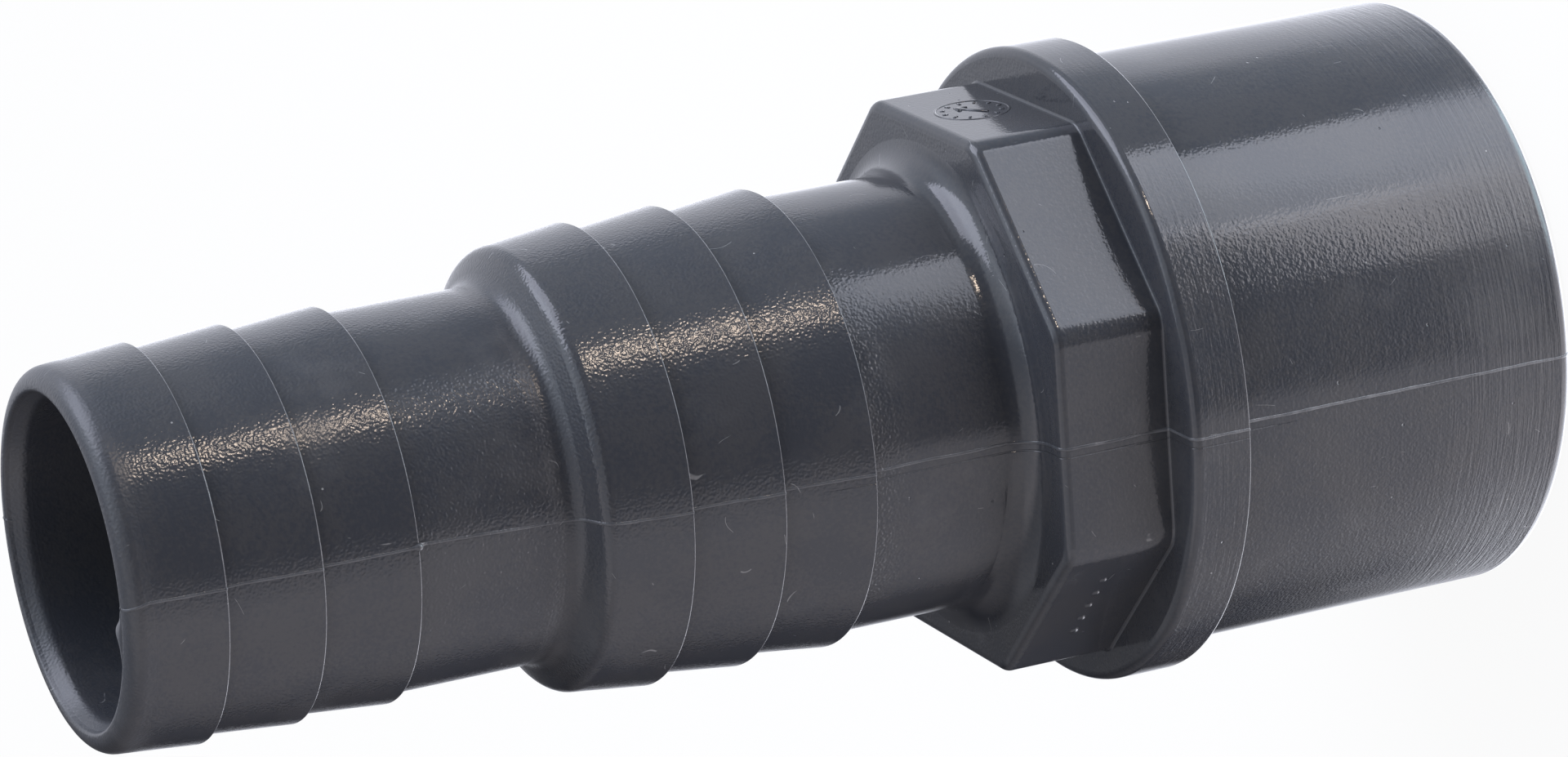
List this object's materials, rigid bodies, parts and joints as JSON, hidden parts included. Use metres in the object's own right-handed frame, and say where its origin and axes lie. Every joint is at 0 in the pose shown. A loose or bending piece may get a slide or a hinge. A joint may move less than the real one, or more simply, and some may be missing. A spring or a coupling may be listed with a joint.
{
  "type": "solvent weld coupling",
  "caption": "Dark grey moulded pipe coupling: glued spigot with a pipe socket inside, stop flange, octagonal wrench collar, and a barbed hose tail stepped for a large and a small hose.",
  "frame": {"origin": "centre of the spigot's end face, on which the part stands", "axes": "+Z along the axis towards the hose tail; -Y and +Y towards the mould's parting line, in the middle of two opposite flats of the collar"},
  "size_m": [0.054, 0.054, 0.123],
  "materials": {
    "pvc": "dark grey moulded PVC-U, glossy, with a fine orange-peel"
  },
  "bodies": {
    "root": {"coupling": "pvc"}
  },
  "joints": []
}
